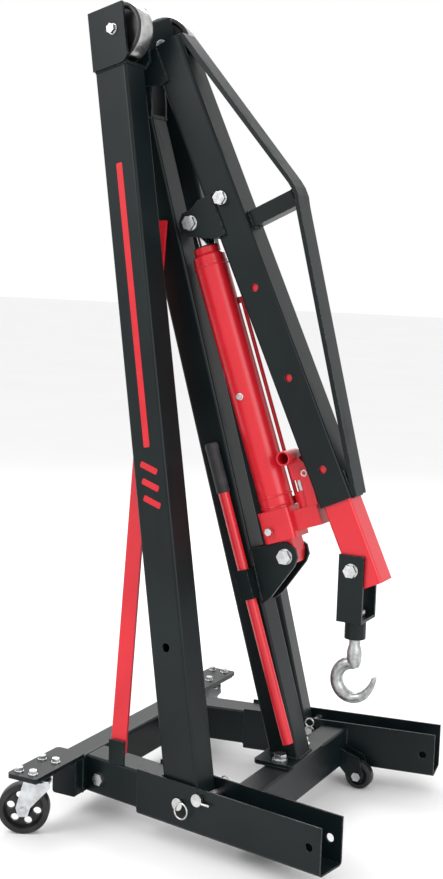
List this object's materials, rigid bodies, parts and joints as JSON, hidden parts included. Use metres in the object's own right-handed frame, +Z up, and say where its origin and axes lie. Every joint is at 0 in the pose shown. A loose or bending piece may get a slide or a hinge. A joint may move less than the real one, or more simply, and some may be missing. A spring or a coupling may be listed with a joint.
{
  "type": "engine hoist crane",
  "caption": "Folding shop crane for lifting engines, folded upright, with a hydraulic ram, a telescoping boom with a swivel hook, and wheeled legs",
  "frame": {"origin": "on the floor, on the centre plane, in the middle of the folded footprint", "axes": "X forward, the way the legs lower and the boom reaches; Y across, to the crane's left; Z up. The crane is stored folded, with the legs up and the boom down"},
  "size_m": [0.6772, 0.82, 1.6103],
  "materials": {
    "frame_black": "satin black powder coat",
    "red_paint": "gloss red paint",
    "zinc": "bright zinc plate",
    "pin_steel": "plain turned steel",
    "fork_zinc": "pressed zinc-plated steel",
    "rod_chrome": "ground hard chrome",
    "hook_steel": "forged and plated",
    "wheel_steel": "turned steel wheel with black sides",
    "wheel_black": "hard moulded black",
    "grip_rubber": "ribbed dark grip"
  },
  "bodies": {
    "frame": {"rear_beam": "frame_black", "side_tube_near": "frame_black", "side_tube_far": "frame_black", "channel_near": "frame_black", "channel_far": "frame_black", "crossbeam": "frame_black", "mast_base": "frame_black", "mast": "frame_black", "mast_yoke": "frame_black", "ram_bracket": "frame_black", "brace_near": "red_paint", "brace_lugs": "frame_black", "boom_pivot_bolt": "zinc", "ram_base_bolt": "zinc", "leg_hinge_pins": "pin_steel", "lock_pin_clips": "zinc", "caster_plates": "frame_black", "roller_brackets": "frame_black", "roller_axles": "zinc", "frame_bolts": "zinc", "handle_clip": "frame_black"},
    "boom": {"boom_tube": "frame_black", "boom_plates": "frame_black", "boom_truss": "frame_black", "boom_lock_bolt": "zinc", "boom_ram_bolt": "zinc"},
    "extension": {"extension_tube": "red_paint", "hook_yoke_bolt": "zinc"},
    "hook_link": {"hook_yoke": "frame_black", "swivel_block": "frame_black"},
    "hook_body": {"hook": "hook_steel"},
    "jack": {"ram_base": "red_paint", "ram_cylinder": "red_paint", "ram_cap": "red_paint", "return_pipe": "red_paint", "pump_links": "red_paint"},
    "jack_rod": {"ram_rod": "rod_chrome"},
    "valve_screw": {"release_valve": "zinc"},
    "plunger": {"pump_plunger": "zinc"},
    "lever": {"pump_lever": "red_paint"},
    "handle": {"handle_tube": "red_paint", "handle_grip": "grip_rubber"},
    "leg_near": {"leg_tube_near": "frame_black", "leg_fork_near": "frame_black", "leg_axle_near": "zinc"},
    "leg_roll_near": {"leg_wheel_near": "wheel_steel"},
    "pin_near": {"lock_pin_near": "pin_steel"},
    "swivel_near": {"caster_fork_near": "fork_zinc"},
    "caster_roll_near": {"caster_wheel_near": "wheel_black"},
    "front_roll_near": {"front_roller_near": "wheel_steel"},
    "leg_far": {"leg_tube_far": "frame_black", "leg_fork_far": "frame_black", "leg_axle_far": "zinc"},
    "leg_roll_far": {"leg_wheel_far": "wheel_steel"},
    "pin_far": {"lock_pin_far": "pin_steel"},
    "swivel_far": {"caster_fork_far": "fork_zinc"},
    "caster_roll_far": {"caster_wheel_far": "wheel_black"},
    "front_roll_far": {"front_roller_far": "wheel_steel"}
  },
  "joints": [
    {"name": "leg_deploy_near", "type": "hinge", "parent": "frame", "child": "leg_near", "pos_m": [0.0174, -0.2342, 0.086], "axis": [0.1605, 0.9846, -0.0698], "range_deg": [0, 102.7]},
    {"name": "leg_wheel_spin_near", "type": "hinge", "parent": "leg_near", "child": "leg_roll_near", "pos_m": [-0.26534, -0.08426, 1.55163], "axis": [0.1605, 0.9846, -0.0698], "continuous": true},
    {"name": "lock_pin_pull_near", "type": "slide", "parent": "frame", "child": "pin_near", "axis": [-0.1605, -0.9846, 0.0698], "range_m": [0, 0.09]},
    {"name": "caster_swivel_near", "type": "hinge", "parent": "frame", "child": "swivel_near", "pos_m": [-0.258, -0.352, 0.1], "axis": [0, 0, 1], "continuous": true},
    {"name": "caster_spin_near", "type": "hinge", "parent": "swivel_near", "child": "caster_roll_near", "pos_m": [-0.28007, -0.36374, 0.05], "axis": [-0.4695, 0.8829, 0], "continuous": true},
    {"name": "front_roller_spin_near", "type": "hinge", "parent": "frame", "child": "front_roll_near", "pos_m": [0.19, -0.2, 0.03], "axis": [0, 1, 0], "continuous": true},
    {"name": "leg_deploy_far", "type": "hinge", "parent": "frame", "child": "leg_far", "pos_m": [0.0174, 0.2342, 0.086], "axis": [-0.1605, 0.9846, 0.0698], "range_deg": [0, 102.7]},
    {"name": "leg_wheel_spin_far", "type": "hinge", "parent": "leg_far", "child": "leg_roll_far", "pos_m": [-0.26534, 0.08426, 1.55163], "axis": [-0.1605, 0.9846, 0.0698], "continuous": true},
    {"name": "lock_pin_pull_far", "type": "slide", "parent": "frame", "child": "pin_far", "axis": [-0.1605, 0.9846, 0.0698], "range_m": [0, 0.09]},
    {"name": "caster_swivel_far", "type": "hinge", "parent": "frame", "child": "swivel_far", "pos_m": [-0.258, 0.352, 0.1], "axis": [0, 0, 1], "continuous": true},
    {"name": "caster_spin_far", "type": "hinge", "parent": "swivel_far", "child": "caster_roll_far", "pos_m": [-0.28007, 0.34026, 0.05], "axis": [-0.4695, 0.8829, 0], "continuous": true},
    {"name": "front_roller_spin_far", "type": "hinge", "parent": "frame", "child": "front_roll_far", "pos_m": [0.19, 0.2, 0.03], "axis": [0, 1, 0], "continuous": true},
    {"name": "boom_lift", "type": "hinge", "parent": "frame", "child": "boom", "pos_m": [-0.2631, 0, 1.47983], "axis": [0, -1, 0], "range_deg": [0, 90]},
    {"name": "extension_slide", "type": "slide", "parent": "boom", "child": "extension", "axis": [0.4226, 0, -0.9063], "range_m": [0, 0.57]},
    {"name": "hook_link_hang", "type": "hinge", "parent": "extension", "child": "hook_link", "pos_m": [0.24505, 0, 0.52734], "axis": [0, 1, 0], "range_deg": [0, 90]},
    {"name": "hook_swivel", "type": "hinge", "parent": "hook_link", "child": "hook_body", "pos_m": [0.24505, 0, 0.37734], "axis": [0, 0, 1], "continuous": true},
    {"name": "jack_swing", "type": "hinge", "parent": "frame", "child": "jack", "pos_m": [0.101, 0, 0.535], "axis": [0, 1, 0], "range_deg": [0, 15.91]},
    {"name": "jack_extend", "type": "slide", "parent": "jack", "child": "jack_rod", "axis": [-0.3348, 0, 0.9423], "range_m": [0, 0.39104]},
    {"name": "release_turn", "type": "hinge", "parent": "jack", "child": "valve_screw", "pos_m": [0.07094, -0.04, 0.58375], "axis": [0, -1, 0], "range_deg": [0, 540]},
    {"name": "lever_rock", "type": "hinge", "parent": "jack", "child": "lever", "pos_m": [0.12993, 0, 0.70447], "axis": [0, 1, 0], "range_deg": [-15, 20]},
    {"name": "plunger_stroke", "type": "slide", "parent": "jack", "child": "plunger", "axis": [-0.3348, 0, 0.9423], "range_m": [-0.00576, 0.00768]},
    {"name": "handle_lift", "type": "slide", "parent": "frame", "child": "handle", "axis": [-0.3152, 0, 0.949], "range_m": [0, 0.33]}
  ],
  "couplings": [
    {"joint": "hook_link_hang", "follows": "boom_lift", "ratio": 1},
    {"joint": "jack_swing", "follows": "boom_lift", "ratio": 0.17681},
    {"joint": "jack_extend", "follows": "boom_lift", "m_per_rad": 0.24894},
    {"joint": "plunger_stroke", "follows": "lever_rock", "m_per_rad": 0.022}
  ]
}
